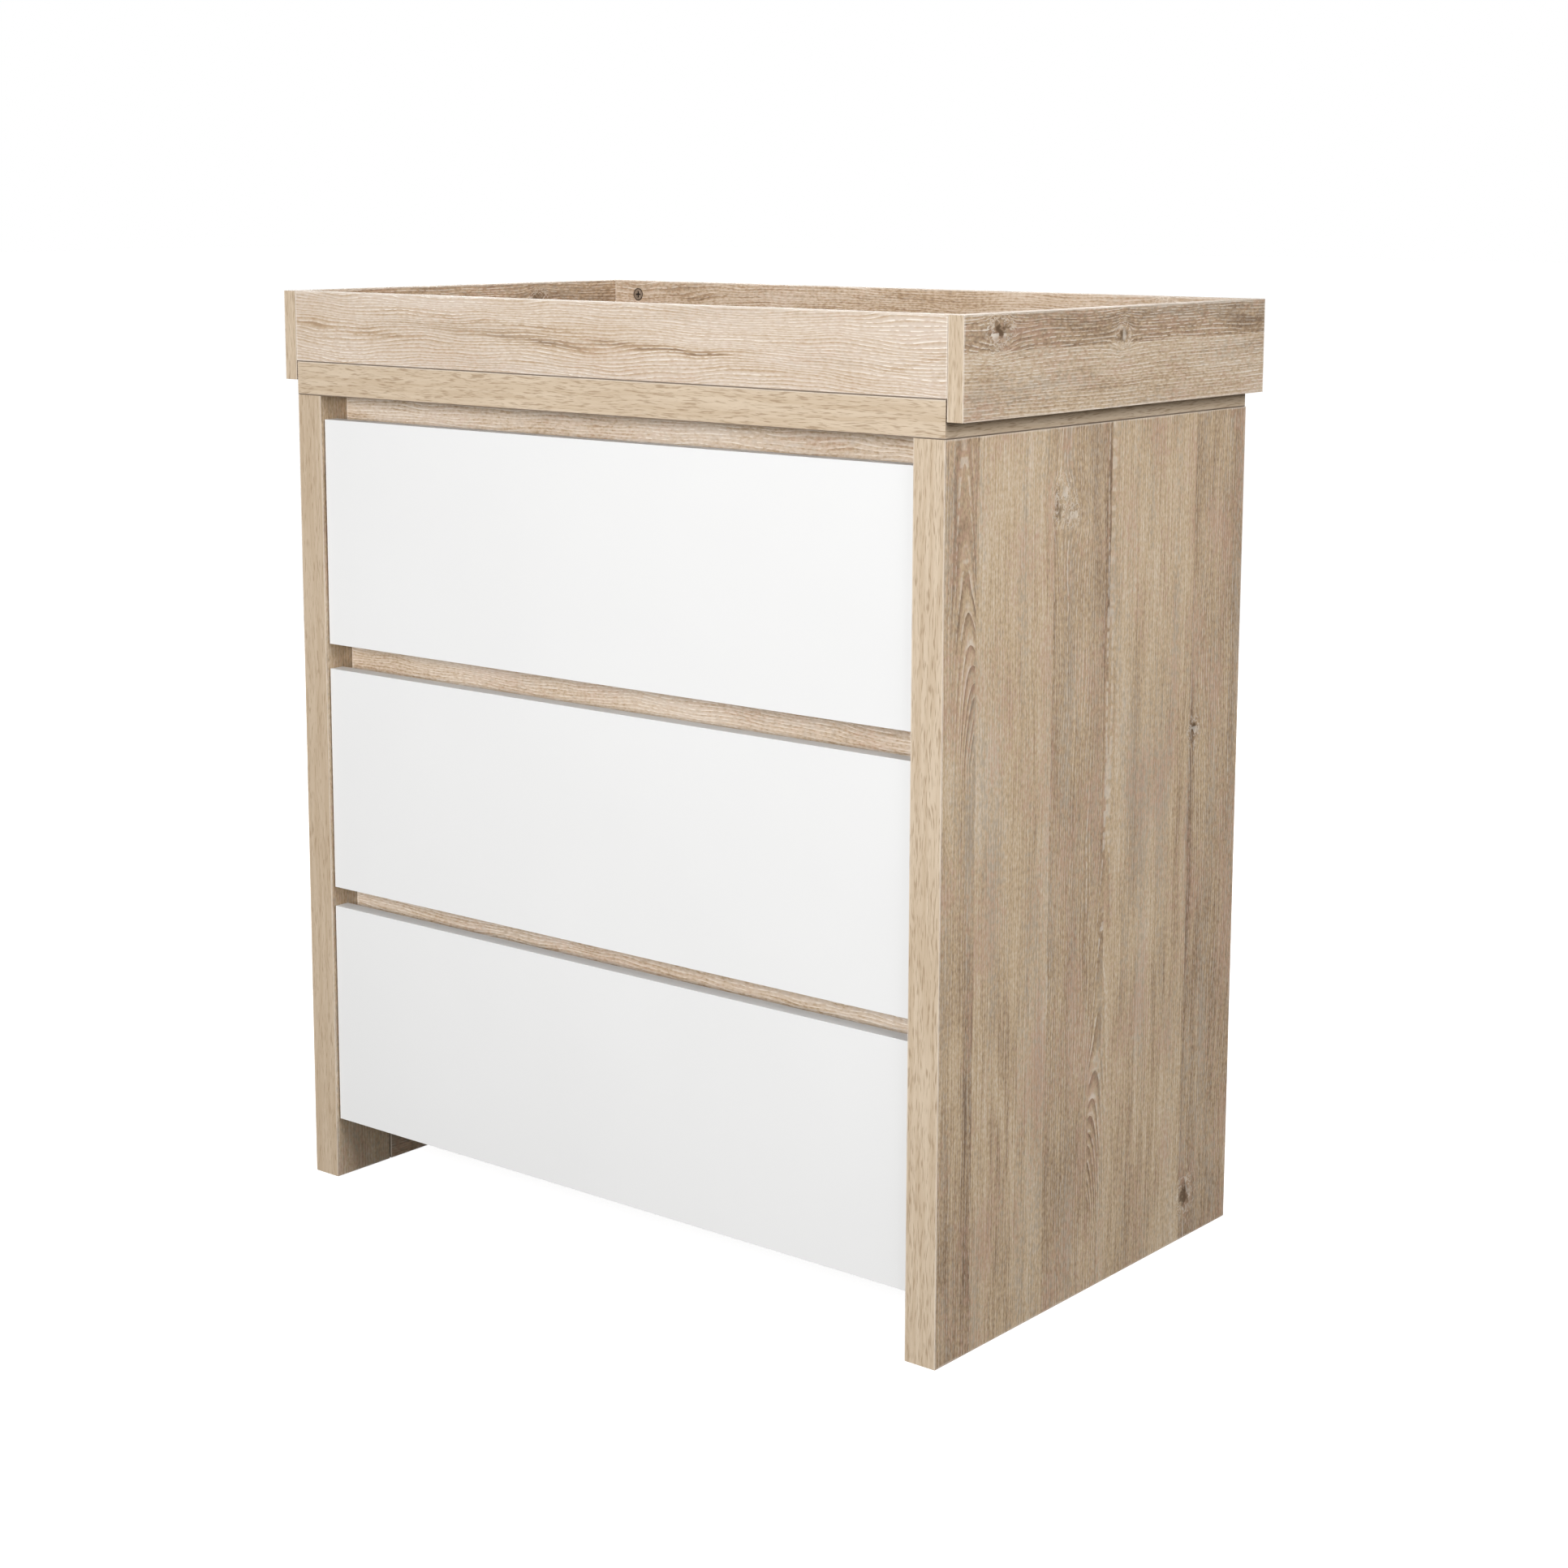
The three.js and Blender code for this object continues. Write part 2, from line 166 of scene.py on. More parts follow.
def streaks(tree, spot, wide, long, seed, detail=1.0):
    """Cloudy marks, about wide mm across the grain and long mm along it, from -0.5 to 0.5."""
    shift = (seed * 3.7, seed * 5.3, seed * 1.9)
    drawn = add(tree, "VectorMath", [spot, (1 / wide, 1 / long, 9.0), shift], operation="MULTIPLY_ADD")
    cloud = add(tree, "TexNoise", {"Vector": drawn, "Scale": 1.0, "Detail": detail}, out="Fac")
    return add(tree, "Math", [cloud, 0.5], operation="SUBTRACT")


def oak_board(node, grain, width, seed, lengths, knots=(), arches=(), seams=(),
              lime=0.0, row=TRAY_ROW, contrast=1.0, joint=False, band_shade=0.0):
    """Oak foil on a board's two faces, its print running along the grain axis, with banded edges.
    lengths are (mm across the board, tone, swing of the grain, strength of the pores).
    knots are (across, along, radius, darkness), with curled pores round each.
    arches are (from, to, seam, foot, top): rings that end in a row of points against a seam.
    seams are (along, across, along, across, half width, strength): dark lines from one place to another,
    or pale ones where the strength is below 0.
    joint adds a dark line along the board's lower edge, where it stands on another: painted shade in the gap,
    over the dark core of the chipboard.
    The last argument is painted shade on the board's edge band: how much darker and browner than the others'
    it is drawn."""
    low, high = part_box(node)
    thin = ({"X", "Y", "Z"} - {grain, width}).pop()
    size = {axis: (high - low)["XYZ".index(axis)] / MM for axis in "XYZ"}
    material, tree = new_material(f"limed_oak_foil_{node}")
    spot = add(tree, "TexCoord", out="Object")
    spot = add(tree, "VectorMath", [spot, low], operation="SUBTRACT")
    spot = add(tree, "VectorMath", {0: spot, "Scale": 1 / MM}, operation="SCALE")
    axes = add(tree, "SeparateXYZ", [spot]).node.outputs
    across, along, through = axes[width], axes[grain], axes[thin]

    # The lengths, side by side, each with its own tone, swing and pores.
    board = add(tree, "CombineXYZ", [across, along, 0.0])
    crook = streaks(tree, board, 30.0, 40.0, seed + 20, 2.0)
    place = add(tree, "Math", [crook, 3.0, across], operation="MULTIPLY_ADD")
    place = add(tree, "Math", [place, size[width]], operation="DIVIDE")
    plan = add(tree, "ValToRGB", [place])
    plan.node.color_ramp.interpolation = "CONSTANT"
    stops = plan.node.color_ramp.elements
    if len(lengths) == 1:
        stops.remove(stops[1])
    for _ in lengths[2:]:
        stops.new(0.5)
    for stop, (start, tone, swing, pores) in zip(stops, lengths):
        stop.position = start / size[width]
        stop.color = (tone, swing, pores, 1.0)
    length_tone, swing, pore_strength = add(tree, "SeparateColor", [plan]).node.outputs[:3]
    timber = add(tree, "CombineXYZ", [across, along, length_tone])

    # The fibres wander, flow round knots, and end in arches where a length was sawn off-centre.
    slow = streaks(tree, timber, 80.0, 420.0, seed)
    quick = streaks(tree, timber, 24.0, 90.0, seed + 1)
    drift = add(tree, "Math", [quick, 18.0], operation="MULTIPLY")
    drift = add(tree, "Math", [slow, 60.0, drift], operation="MULTIPLY_ADD")
    fibre = add(tree, "Math", [drift, swing, across], operation="MULTIPLY_ADD")
    crackle = streaks(tree, board, 4.0, 6.0, seed + 22, 2.0)
    heart = curls = figure = 0.0
    for knot_across, knot_along, radius, darkness in knots:
        offset = add(tree, "VectorMath", [board, (knot_across, knot_along, 0.0)], operation="SUBTRACT")
        offset = add(tree, "VectorMath", [offset, (1.0, 0.7, 0.0)], operation="MULTIPLY")
        away = add(tree, "VectorMath", [offset], out="Value", operation="LENGTH")
        away = add(tree, "Math", [crook, radius * 2.6, away], operation="MULTIPLY_ADD")
        away = add(tree, "Math", [crackle, radius * 1.6, away], operation="MULTIPLY_ADD")
        near = add(tree, "Math", [radius * 1.5, away], operation="DIVIDE")
        near = add(tree, "Math", [near, 2.0], operation="POWER", use_clamp=True)
        beside = add(tree, "Math", [across, knot_across], operation="SUBTRACT")
        pull = add(tree, "Math", [beside, near], operation="MULTIPLY")
        fibre = add(tree, "Math", [fibre, pull], operation="SUBTRACT")
        core = add(tree, "MapRange", [away, radius * 1.3, radius * 0.2, 0.0, darkness], **SMOOTH)
        heart = add(tree, "Math", [heart, core], operation="MAXIMUM")
        ruffle = add(tree, "MapRange", [away, radius * 3.0, radius * 1.2, 0.0, 1.0], **SMOOTH)
        curls = add(tree, "Math", [curls, ruffle], operation="MAXIMUM")
    for start, stop, seam, foot, top in arches:
        beside = add(tree, "Math", [across, seam], operation="SUBTRACT")
        beside = add(tree, "Math", [beside], operation="ABSOLUTE")
        beside = add(tree, "Math", [quick, 3.0, beside], operation="MULTIPLY_ADD")
        inside = add(tree, "MapRange", [across, start, start + 1.0, 0.0, 1.0])
        inside = add(tree, "MapRange", [across, stop, stop - 1.0, 0.0, inside])
        rise = add(tree, "MapRange", [along, foot, top, 0.0, (top - foot) * ARCH_STEEPNESS])
        crown = add(tree, "MapRange", [along, top, top + CROWN_RUN, 0.0, CROWN_RISE])
        rise = add(tree, "Math", [rise, crown], operation="ADD")
        lean = add(tree, "Math", [beside, -1 / ARCH_REACH], operation="MULTIPLY")
        lean = add(tree, "Math", [math.e, lean], operation="POWER")
        arch = add(tree, "Math", [rise, lean, beside], operation="MULTIPLY_ADD")
        fibre = add(tree, "Mix", {0: inside, 2: fibre, 3: arch})
        body = add(tree, "MapRange", [along, foot - 30.0, foot + 10.0, 0.0, inside], **SMOOTH)
        body = add(tree, "MapRange", [along, top + 30.0, top - 10.0, 0.0, body], **SMOOTH)
        body = add(tree, "MapRange", [beside, ARCH_REACH * 1.9, ARCH_REACH * 0.8, 0.0, body], **SMOOTH)
        figure = add(tree, "Math", [figure, body], operation="MAXIMUM")
    grown = add(tree, "CombineXYZ", [fibre, along, length_tone])

    # Tone: slow bands and clouds, fine hairs, and rings that are each pale at first and then darken.
    bands = streaks(tree, grown, 13.0, 420.0, seed + 2, 2.0)
    hairs = streaks(tree, grown, 2.6, 70.0, seed + 4, 2.0)
    clouds = streaks(tree, timber, 55.0, 170.0, seed + 5, 3.0)
    speck = streaks(tree, board, 2.4, 5.0, seed + 6, 2.0)
    tone = length_tone
    for marks, amount in ((bands, 0.38), (hairs, 0.68), (clouds, 0.70), (speck, 1.0)):
        tone = add(tree, "Math", [marks, amount * contrast, tone], operation="MULTIPLY_ADD")
    ring = add(tree, "Math", [fibre, row], operation="DIVIDE")
    ring = add(tree, "Math", [bands, 1.9, ring], operation="MULTIPLY_ADD")
    ring = add(tree, "Math", [ring], operation="FRACT")
    late_wood = add(tree, "MapRange", [ring, 0.3, 1.0, -0.3, 0.7], **SMOOTH)
    depth = add(tree, "Math", [figure, 2.1, pore_strength], operation="MULTIPLY_ADD")
    late_wood = add(tree, "Math", [late_wood, depth], operation="MULTIPLY")
    tone = add(tree, "Math", [late_wood, -0.26, tone], operation="MULTIPLY_ADD")

    # Seams, broken up by the bands and hairs that they run through.
    crooked = add(tree, "Math", [crook, 7.0, across], operation="MULTIPLY_ADD")
    crooked = add(tree, "Math", [quick, 7.0, crooked], operation="MULTIPLY_ADD")
    uneven = add(tree, "MapRange", [bands, -0.2, 0.1, 1.0, 0.5], **SMOOTH)
    broken = add(tree, "MapRange", [hairs, -0.12, 0.12, 1.0, 0.4], **SMOOTH)
    uneven = add(tree, "Math", [uneven, broken], operation="MULTIPLY")
    for from_along, from_across, to_along, to_across, half, strength in seams:
        centre = add(tree, "MapRange", [along, from_along, to_along, from_across, to_across], clamp=False)
        seam = add(tree, "Math", [crooked, centre], operation="SUBTRACT")
        seam = add(tree, "Math", [seam], operation="ABSOLUTE")
        seam = add(tree, "MapRange", [seam, half, 0.0, 0.0, strength], **SMOOTH)
        taper = min(60.0, (to_along - from_along) / 3)
        starts = add(tree, "MapRange", [along, from_along - 1, from_along + taper, 0.0, uneven], **SMOOTH)
        both = add(tree, "MapRange", [along, to_along + 1, to_along - taper, 0.0, starts], **SMOOTH)
        seam = add(tree, "Math", [seam, both], operation="MULTIPLY")
        tone = add(tree, "Math", [tone, seam], operation="SUBTRACT")

    # Colour: brown to cream by tone, with grey and pink patches and flecks, and a wash of lime.
    foil = add(tree, "ValToRGB", [tone])
    for _ in FOIL[2:]:
        foil.node.color_ramp.elements.new(0.5)
    for stop, (place, shade) in zip(foil.node.color_ramp.elements, FOIL):
        stop.position = place
        stop.color = colour(shade)
    ashen = streaks(tree, timber, 26.0, 300.0, seed + 7, 3.0)
    rosy = streaks(tree, timber, 45.0, 120.0, seed + 8, 3.0)
    blush = streaks(tree, board, 4.0, 8.0, seed + 9, 2.0)
    ashen = add(tree, "Math", [blush, -0.9, ashen], operation="MULTIPLY_ADD")
    rosy = add(tree, "Math", [blush, 0.9, rosy], operation="MULTIPLY_ADD")
    for shade, patches, most in ((ASH, ashen, 0.6 * (1 - lime)), (ROSE, rosy, 0.5 * (1 - lime))):
        patches = add(tree, "MapRange", [patches, 0.0, 0.24, 0.0, most])
        foil = add(tree, "Mix", {0: patches, 6: foil, 7: colour(shade)}, out=2, data_type="RGBA")
    wash = add(tree, "MapRange", [tone, 0.35, 0.75, 0.0, lime], **SMOOTH)
    foil = add(tree, "Mix", {0: wash, 6: foil, 7: colour(LIMED)}, out=2, data_type="RGBA")

    # Pores: rows of short dashes full of pale lime, one row to a ring, curled up round knots.
    dashes = streaks(tree, grown, row * 0.8, PORE_LENGTH, seed + 10)
    dashes = add(tree, "MapRange", [dashes, -0.10, 0.06, 0.0, 1.0], **SMOOTH)
    dashes = add(tree, "MapRange", [ring, 0.36, 0.10, 0.0, dashes], **SMOOTH)
    field = add(tree, "MapRange", [clouds, -0.15, 0.10, 0.4, pore_strength], **SMOOTH)
    field = add(tree, "Math", [field, pore_strength], operation="MINIMUM")
    pores = add(tree, "Math", [dashes, field], operation="MULTIPLY")
    if knots:
        worms = streaks(tree, board, 5.0, 7.0, seed + 21)
        worms = add(tree, "Math", [worms], operation="ABSOLUTE")
        worms = add(tree, "MapRange", [worms, 0.06, 0.02, 0.0, 0.45], **SMOOTH)
        worms = add(tree, "Math", [worms, curls], operation="MULTIPLY")
        worms = add(tree, "Math", [worms, heart], operation="SUBTRACT", use_clamp=True)
        pores = add(tree, "Math", [pores, worms], operation="MAXIMUM")
        check = add(tree, "MapRange", [crackle, -0.04, 0.14, 1.0, 0.35], **SMOOTH)
        check = add(tree, "Math", [heart, check], operation="MULTIPLY")
        foil = add(tree, "Mix", {0: check, 6: foil, 7: colour(KNOT_AND_GAP_SHADE)}, out=2, data_type="RGBA")
    foil = add(tree, "Mix", {0: pores, 6: foil, 7: colour(LIME_AND_HIGHLIGHT)}, out=2, data_type="RGBA")

    # Painted highlight: the foil is drawn paler along its borders, in places, where its rounded corners would
    # catch the light.
    border = 1000.0
    for distance, axis in ((across, width), (along, grain)):
        middle = add(tree, "Math", [distance, size[axis] / 2], operation="SUBTRACT")
        middle = add(tree, "Math", [middle], operation="ABSOLUTE")
        rim = add(tree, "Math", [size[axis] / 2, middle], operation="SUBTRACT")
        border = add(tree, "Math", [border, rim], operation="MINIMUM")
    border = add(tree, "Math", [quick, 3.0, border], operation="MULTIPLY_ADD")
    border_highlight = add(tree, "MapRange", [border, 2.2, 0.6, 0.0, BORDER_HIGHLIGHT], **SMOOTH)
    foil = add(tree, "Mix", {0: border_highlight, 6: foil, 7: colour(LIME_AND_HIGHLIGHT)}, out=2, data_type="RGBA")

    # Edge band: short dark dashes on a warm ground, running the long way of each edge.
    facing = add(tree, "VectorMath", [add(tree, "TexCoord", out="Normal")], operation="ABSOLUTE")
    facing = add(tree, "SeparateXYZ", [facing]).node.outputs
    on_end = add(tree, "MapRange", [facing[grain], 0.6, 0.8, 0.0, 1.0], **SMOOTH)
    run = add(tree, "Mix", {0: on_end, 2: along, 3: across})
    edge = add(tree, "CombineXYZ", [through, run, 0.0])
    waver = streaks(tree, edge, 12.0, 60.0, seed + 12)
    lane = add(tree, "Math", [waver, 7.0, through], operation="MULTIPLY_ADD")
    edge = add(tree, "CombineXYZ", [lane, run, 0.0])
    marks = streaks(tree, edge, 1.1, 15.0, seed + 13, 1.5)
    marks = add(tree, "MapRange", [marks, 0.0, 0.18, 0.0, 0.6], **SMOOTH)
    ground = streaks(tree, edge, 5.0, 120.0, seed + 14, 2.0)
    ground = add(tree, "MapRange", [ground, -0.2, 0.2, 0.0, 1.0], **SMOOTH)
    band = add(tree, "Mix", {0: ground, 6: colour(EDGE_TAN), 7: colour(EDGE_PALE)}, out=2, data_type="RGBA")
    # Painted shade, where asked for: the band is drawn darker all over, as well as in its dashes.
    marks_and_shade = add(tree, "Math", [marks, band_shade], operation="MAXIMUM")
    band = add(tree, "Mix", {0: marks_and_shade, 6: band, 7: colour(EDGE_STREAK)}, out=2, data_type="RGBA")
    # Painted highlight: the band is drawn paler along its two long corners.
    middle = add(tree, "Math", [through, size[thin] / 2], operation="SUBTRACT")
    middle = add(tree, "Math", [middle], operation="ABSOLUTE")
    rim = add(tree, "Math", [waver, 1.5, middle], operation="MULTIPLY_ADD")
    rim = add(tree, "MapRange", [rim, size[thin] / 2 - 1.6, size[thin] / 2 - 0.7, 0.0, RIM_HIGHLIGHT], **SMOOTH)
    band = add(tree, "Mix", {0: rim, 6: band, 7: colour(LIME_AND_HIGHLIGHT)}, out=2, data_type="RGBA")
    on_face = add(tree, "MapRange", [facing[thin], 0.65, 0.8, 0.0, 1.0], **SMOOTH)
    skin = add(tree, "Mix", {0: on_face, 6: band, 7: foil}, out=2, data_type="RGBA")
    # Painted shade in the gap where the board stands on another, with the dark chipboard core: a dark line
    # along its lower edge.
    if joint:
        gap_shade = add(tree, "MapRange", [axes["Z"], 1.3, 0.8, 0.0, 0.8], **SMOOTH)
        skin = add(tree, "Mix", {0: gap_shade, 6: skin, 7: colour(KNOT_AND_GAP_SHADE)}, out=2, data_type="RGBA")

    # The pores are pressed into the foil, and it is a little glossier between them.
    pressed = add(tree, "Math", [pores, on_face], operation="MULTIPLY")
    pressed = add(tree, "Math", [marks, 0.5, pressed], operation="MULTIPLY_ADD")
    bump = add(tree, "Bump", {"Height": pressed, "Strength": 0.4, "Distance": PORE_DEPTH * MM}, invert=True)
    gloss = add(tree, "MapRange", [hairs, -0.2, 0.2, 0.66, 0.54])
    surface = {"Base Color": skin, "Roughness": gloss, "Normal": bump, "Specular IOR Level": 0.3}
    add(tree, "OutputMaterial", [add(tree, "BsdfPrincipled", surface)])
    return material


def soften(piece, radius, segments=2):
    """Rounds a board's or fitting's sharp corners, as its edging or moulding does."""
    bevel = piece.modifiers.new("softened_edges", "BEVEL")
    bevel.width = radius * MM
    bevel.segments = segments
    bevel.limit_method = "ANGLE"
    bevel.angle_limit = math.radians(40)
    bevel.harden_normals = False
    for polygon in piece.data.polygons:
        polygon.use_smooth = False


def dress(node, material, radius=0.0, segments=2):
    """Gives a CAD node its finish, and its softened edges."""
    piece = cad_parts[node]
    piece.data.materials.clear()
    piece.data.materials.append(material)
    if radius:
        soften(piece, radius, segments)


# ---------------------------------------------------------------- side panels
# Each side is one foil-faced board with its front edge doubled and banded, standing straight on the floor.
# The print runs upright, in five lengths with a few knots and two arched figures.

OUTER_EDGE = 1.0  # mm that the boards on the outside are rounded by
SIDE_LENGTHS = (
    (0, 0.49, 0.25, 0.35), (53, 0.70, 0.10, 0.30), (180, 0.50, 0.45, 0.50), (281, 0.68, 0.12, 0.30),
    (441, 0.44, 0.45, 0.45),
)
SIDE_KNOTS = (
    (191, 828, 6, 0.1), (189, 808, 5, 0.5), (212, 806, 5, 0.15), (448, 562, 6, 0.9), (452, 46, 8, 0.8),
)
SIDE_ARCHES = ((10, 52, 52, 585, 752), (259, 296, 259, 90, 262))
SIDE_SEAMS = (
    (680, 22, 930, 26, 30, 0.36), (570, 48, 930, 52, 5, 0.32), (-20, 52, 380, 50, 14, 0.28),
    (0, 44, 560, 46, 4, 0.20), (460, 14, 640, 12, 14, -0.12), (330, 22, 640, 20, 26, -0.32),
    (600, 183, 930, 181, 5, 0.36), (0, 181, 560, 180, 4, 0.12), (760, 185, 870, 184, 8, 0.62),
    (770, 200, 860, 205, 24, 0.14), (330, 276, 560, 277, 4, 0.12), (560, 276, 910, 280, 4, 0.18),
    (60, 288, 300, 284, 4, 0.14), (470, 444, 900, 442, 5, 0.26), (0, 440, 640, 444, 6, 0.28),
    (200, 452, 600, 446, 4, 0.22), (220, 416, 640, 424, 26, 0.10), (-100, 26, 300, 26, 40, 0.12),
    (-100, 116, 380, 110, 80, 0.34), (560, 364, 1000, 364, 90, 0.12), (-100, 232, 200, 232, 60, 0.10),
    (-100, 360, 360, 350, 100, 0.26), (-100, 500, 400, 500, 70, 0.22), (-100, 50, 440, 44, 22, 0.22),
    (600, 274, 930, 280, 12, 0.22), (280, 444, 600, 441, 8, 0.26), (-100, 470, 120, 470, 60, 0.08),
)
material = oak_board(
    "right_side_panel", "Z", "Y", 3.0, SIDE_LENGTHS, SIDE_KNOTS, SIDE_ARCHES, SIDE_SEAMS, row=SIDE_ROW
)
dress("right_side_panel", material, OUTER_EDGE)
LEFT_LENGTHS = (
    (0, 0.66, 0.12, 0.3), (96, 0.46, 0.45, 0.5), (210, 0.70, 0.1, 0.28), (352, 0.5, 0.3, 0.45),
    (470, 0.64, 0.2, 0.35),
)
LEFT_KNOTS = ((150, 250, 8, 0.6), (392, 640, 6, 0.5))
LEFT_ARCHES = ((316, 352, 352, 420, 600),)
LEFT_SEAMS = (
    (0, 96, 892, 98, 7, 0.35), (300, 211, 892, 208, 6, 0.25), (0, 352, 892, 350, 6, 0.35),
    (0, 470, 700, 466, 6, 0.25),
)
# Painted shade: the left side's edge band is drawn darker than the right's.
material = oak_board(
    "left_side_panel", "Z", "Y", 23.0, LEFT_LENGTHS, LEFT_KNOTS, LEFT_ARCHES, LEFT_SEAMS,
    row=SIDE_ROW, band_shade=0.17,
)
dress("left_side_panel", material, OUTER_EDGE)

# ---------------------------------------------------------------- lining panels, rails, bottom and plinth
# 18 mm boards of the same foil-faced chipboard: the linings are glued inside the sides, and the rest is
# dowelled between them. The print runs across the chest, or from front to back on the linings.

HANDS = ("left", "right")
BOARD_EDGE = 0.8  # mm that the edges are rounded by
INSIDE_LENGTHS = ((0, 0.45, 0.2, 0.3), (42, 0.62, 0.1, 0.25), (303, 0.46, 0.4, 0.4), (523, 0.6, 0.2, 0.3))
for number, hand in enumerate(HANDS):
    lining = f"{hand}_lining_panel"
    dress(lining, oak_board(lining, "Y", "Z", 41.0 + number, INSIDE_LENGTHS), BOARD_EDGE)
RAIL_LENGTHS = ((0, 0.69, 0.6, 0.75),)
for number, rail in enumerate(("top_rail", "upper_rail", "lower_rail", "rear_plinth")):
    dress(rail, oak_board(rail, "X", "Z", 57.0 + 7 * number, RAIL_LENGTHS, lime=0.4), BOARD_EDGE)
dress("bottom_panel", oak_board("bottom_panel", "X", "Y", 95.0, INSIDE_LENGTHS), BOARD_EDGE)

# ---------------------------------------------------------------- top
# A 36 mm board that covers the sides, flush with them at the front, and fixed down on dowels and cams.
# Its faces have the same foil, and its thick edges show the edge band best.

TOP_LENGTHS = ((0, 0.66, 0.1, 0.3), (131, 0.50, 0.5, 0.5), (252, 0.70, 0.15, 0.3), (402, 0.48, 0.4, 0.4))
TOP_KNOTS = ((188, 260, 8, 0.6), (460, 700, 7, 0.5))
dress("top_panel", oak_board("top_panel", "X", "Y", 71.0, TOP_LENGTHS, TOP_KNOTS, joint=True), OUTER_EDGE)

# ---------------------------------------------------------------- changing tray
# Four foil-faced boards round an open top, drawn together by a cam at each corner. The two side
# boards are printed with a darker, knotty length over a plain one.

FRONT_LENGTH = ((0, 0.63, 0.6, 0.85),)
FRONT_SEAMS = (
    (-60, 38, 170, 34, 13, 0.26), (70, 36, 235, 28, 4, 0.44), (120, 56, 470, 31, 15, 0.26),
    (230, 43, 450, 29, 4, 0.30), (180, 58, 420, 46, 4, 0.24), (330, 50, 560, 30, 5, 0.24),
    (420, 40, 680, 26, 9, 0.22), (520, 34, 660, 27, 3, 0.36), (680, 30, 830, 24, 3, 0.20),
    (800, 22, 900, 42, 4, 0.34), (300, 12, 520, 8, 3, 0.14), (560, 16, 760, 12, 3, 0.14),
    (-40, 70, 300, 70, 12, -0.12), (560, 62, 920, 60, 14, -0.12),
)
material = oak_board(
    "tray_front", "X", "Z", 7.0, FRONT_LENGTH, (), (), FRONT_SEAMS, lime=0.6, contrast=0.38, joint=True
)
dress("tray_front", material, OUTER_EDGE)
BACK_LENGTH = ((0, 0.58, 0.6, 0.7),)
BACK_SEAMS = (
    (-60, 66, 440, 62, 22, 0.18), (40, 62, 420, 50, 6, 0.3), (380, 70, 760, 56, 5, 0.22),
    (500, 68, 960, 66, 22, -0.20),
)
BACK_KNOTS = ((68, 790, 5, 0.6),)
material = oak_board(
    "tray_back", "X", "Z", 12.0, BACK_LENGTH, BACK_KNOTS, (), BACK_SEAMS, lime=0.4, joint=True
)
dress("tray_back", material, OUTER_EDGE)
SIDE_BOARD = ((0, 0.60, 0.08, 0.8), (62, 0.35, 0.45, 0.8))
RIGHT_KNOTS = ((81, 56, 7, 0.85), (69, 265, 5, 0.7))
RIGHT_SEAMS = (
    (-20, 62, 52, 82, 3, 0.3), (60, 76, 120, 66, 3, 0.3), (100, 67, 262, 63, 3, 0.40),
    (270, 70, 440, 63, 3, 0.35), (440, 96, 560, 80, 4, 0.26), (455, 86, 560, 70, 4, 0.24),
    (120, 88, 430, 90, 3, 0.20), (150, 78, 240, 80, 3, 0.20),
)
material = oak_board("tray_right_side", "Y", "Z", 17.0, SIDE_BOARD, RIGHT_KNOTS, (), RIGHT_SEAMS, lime=0.18)
dress("tray_right_side", material, OUTER_EDGE)
LEFT_KNOT = ((78, 380, 5, 0.8),)
material = oak_board("tray_left_side", "Y", "Z", 29.0, SIDE_BOARD, LEFT_KNOT, lime=0.3)
dress("tray_left_side", material, OUTER_EDGE)

# ---------------------------------------------------------------- tray cams and bolts
# A die-cast zinc cam sits in each end of the front and back boards. Turned, it pulls on the head of a
# zinc-plated steel bolt that is screwed into the side board.


def plated_steel(name, tint, roughness, grain_axis):
    """Zinc-plated sheet: a cool grey metal with fine rolling lines and a slightly mottled shine."""
    material, tree = new_material(name)
    spot = add(tree, "TexCoord", out="Object")
    stretch = [1.0 / (40.0 if axis == grain_axis else 0.6) / MM for axis in "XYZ"]
    lines = add(tree, "VectorMath", [spot, stretch], operation="MULTIPLY")
    lines = add(tree, "TexNoise", {"Vector": lines, "Scale": 1.0, "Detail": 2.0}, out="Fac")
    mottle = add(tree, "TexNoise", {"Vector": spot, "Scale": 1 / (9 * MM), "Detail": 3.0}, out="Fac")
    skin = add(tree, "Mix", {0: mottle, 6: colour(tint[0]), 7: colour(tint[1])}, out=2, data_type="RGBA")
    gloss = add(tree, "MapRange", [lines, 0.3, 0.7, roughness - 0.07, roughness + 0.09])
    bump = add(tree, "Bump", {"Height": lines, "Strength": 0.25, "Distance": 0.02 * MM})
    zinc = {"Base Color": skin, "Metallic": 1.0, "Roughness": gloss, "Normal": bump}
    add(tree, "OutputMaterial", [add(tree, "BsdfPrincipled", zinc)])
    return material


